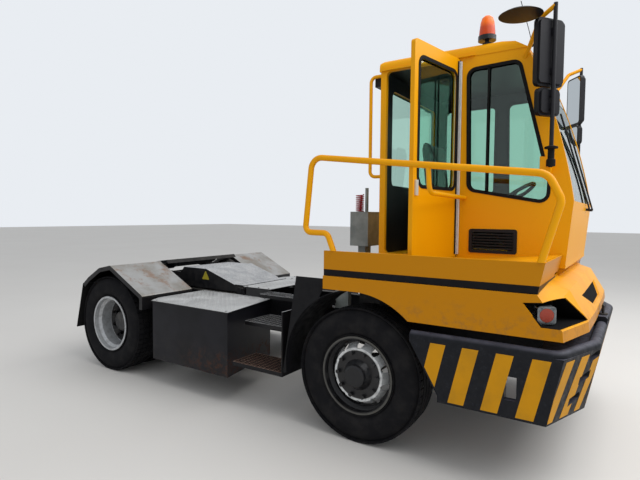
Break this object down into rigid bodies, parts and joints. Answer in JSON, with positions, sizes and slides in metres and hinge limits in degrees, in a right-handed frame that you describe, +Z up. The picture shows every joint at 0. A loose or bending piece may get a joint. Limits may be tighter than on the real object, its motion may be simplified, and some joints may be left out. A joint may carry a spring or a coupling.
{
  "type": "terminal tractor",
  "caption": "Two-axle yard tractor with an offset cab, steered front wheels, twin rear wheels and a lifting boom that carries a fifth wheel.",
  "frame": {"origin": "on the ground, in the middle of the vehicle's length and width", "axes": "+X forward, +Y to the vehicle's left, +Z up"},
  "size_m": [5.366, 2.5, 3.3029],
  "materials": {
    "tyre": "matt",
    "rim_steel": "satin",
    "rim_silver": "satin",
    "cast_black": "matt",
    "frame_black": "satin",
    "engine_grey": "matt",
    "bumper_grey": "satin",
    "yellow_paint": "gloss",
    "lamp_plastic": "gloss",
    "black_plastic": "matt",
    "glass": "gloss",
    "bare_steel": "satin",
    "worn_steel": "matt",
    "rubber": "matt",
    "chrome": "polished",
    "amber_lens": "gloss",
    "lamp_orange": "gloss",
    "red_lens": "gloss",
    "seat_cloth": "matt",
    "unit_grey": "satin",
    "red_hose": "satin"
  },
  "bodies": {
    "chassis": {"front_axle": "cast_black", "rear_axle": "cast_black", "chassis_frame": "frame_black", "engine_block": "engine_grey", "front_bumper": "bumper_grey", "nose_cowl": "yellow_paint", "headlamps": "lamp_plastic", "tow_pin": "bare_steel", "nose_liner": "black_plastic", "lamp_lenses": "lamp_orange", "cab_lining": "black_plastic", "side_bodywork_left": "yellow_paint", "side_bodywork_right": "yellow_paint", "body_decks": "yellow_paint", "body_bearers": "frame_black", "cab_floor": "yellow_paint", "cab_right_wall": "yellow_paint", "cab_left_wall": "yellow_paint", "cab_rear_wall": "yellow_paint", "cab_front_panel": "yellow_paint", "cab_roof": "yellow_paint", "cab_grille": "black_plastic", "cab_glass": "glass", "side_boxes": "frame_black", "deck_plates": "worn_steel", "steps": "frame_black", "wheel_guards": "frame_black", "rear_fenders": "worn_steel", "mud_flaps": "rubber", "hand_rails": "yellow_paint", "mirror_arms": "yellow_paint", "mirrors": "black_plastic", "beacon": "amber_lens", "seat_frame": "black_plastic", "seat_cushions": "seat_cloth", "dashboard": "black_plastic", "steering_wheel": "black_plastic", "wipers": "black_plastic", "work_lamps": "lamp_plastic", "tail_lamps": "red_lens", "air_unit": "unit_grey", "air_hose": "red_hose"},
    "knuckle_left": {"knuckle_left": "cast_black"},
    "knuckle_right": {"knuckle_right": "cast_black"},
    "tie_rod": {"tie_rod": "cast_black"},
    "wheel_front_left": {"tyre_front_left": "tyre", "rim_front_left": "rim_steel"},
    "wheel_front_right": {"tyre_front_right": "tyre", "rim_front_right": "rim_steel"},
    "wheel_rear_left": {"tyres_rear_left": "tyre", "rims_rear_left": "rim_silver"},
    "wheel_rear_right": {"tyres_rear_right": "tyre", "rims_rear_right": "rim_silver"},
    "door": {"door_panel": "yellow_paint", "door_fittings": "bare_steel", "door_glass": "glass"},
    "boom": {"lift_boom": "frame_black"},
    "fifth_wheel": {"fifth_wheel": "frame_black"},
    "lift_barrels": {"lift_barrels": "frame_black"},
    "lift_rods": {"lift_rods": "chrome"}
  },
  "joints": [
    {"name": "steer_left", "type": "hinge", "parent": "chassis", "child": "knuckle_left", "pos_m": [1.107, 0.83, 0.52], "axis": [0, 0, 1], "range_deg": [-38, 38]},
    {"name": "steer_right", "type": "hinge", "parent": "chassis", "child": "knuckle_right", "pos_m": [1.107, -0.83, 0.52], "axis": [0, 0, 1], "range_deg": [-38, 38]},
    {"name": "tie_rod_turn", "type": "hinge", "parent": "knuckle_left", "child": "tie_rod", "pos_m": [0.927, 0.83, 0.405], "axis": [0, 0, 1], "range_deg": [-38, 38]},
    {"name": "roll_front_left", "type": "hinge", "parent": "knuckle_left", "child": "wheel_front_left", "pos_m": [1.107, 1.035, 0.52], "axis": [0, 1, 0], "continuous": true},
    {"name": "roll_front_right", "type": "hinge", "parent": "knuckle_right", "child": "wheel_front_right", "pos_m": [1.107, -1.035, 0.52], "axis": [0, 1, 0], "continuous": true},
    {"name": "roll_rear_left", "type": "hinge", "parent": "chassis", "child": "wheel_rear_left", "pos_m": [-1.983, 0.9085, 0.52], "axis": [0, 1, 0], "continuous": true},
    {"name": "roll_rear_right", "type": "hinge", "parent": "chassis", "child": "wheel_rear_right", "pos_m": [-1.983, -0.9085, 0.52], "axis": [0, 1, 0], "continuous": true},
    {"name": "door_swing", "type": "hinge", "parent": "chassis", "child": "door", "pos_m": [1.637, -0.462, 2.193], "axis": [0, 0, 1], "range_deg": [-80, 5]},
    {"name": "boom_lift", "type": "hinge", "parent": "chassis", "child": "boom", "pos_m": [-0.783, 0, 0.895], "axis": [0, 1, 0], "range_deg": [0, 22]},
    {"name": "fifth_wheel_tilt", "type": "hinge", "parent": "boom", "child": "fifth_wheel", "pos_m": [-2.103, 0, 1.08], "axis": [0, 1, 0], "range_deg": [-22, 16], "stiffness_Nm_per_rad": 2000},
    {"name": "barrel_swing", "type": "hinge", "parent": "chassis", "child": "lift_barrels", "pos_m": [-1.223, 0, 0.66], "axis": [0, 1, 0], "range_deg": [0, 27.8]},
    {"name": "rod_stroke", "type": "slide", "parent": "lift_barrels", "child": "lift_rods", "axis": [-0.8838, 0, 0.4679], "range_m": [0, 0.18]}
  ],
  "couplings": [
    {"joint": "steer_right", "follows": "steer_left", "ratio": 1},
    {"joint": "tie_rod_turn", "follows": "steer_left", "ratio": -1},
    {"joint": "barrel_swing", "follows": "boom_lift", "ratio": 1.2566},
    {"joint": "rod_stroke", "follows": "boom_lift", "m_per_rad": 0.4659}
  ]
}
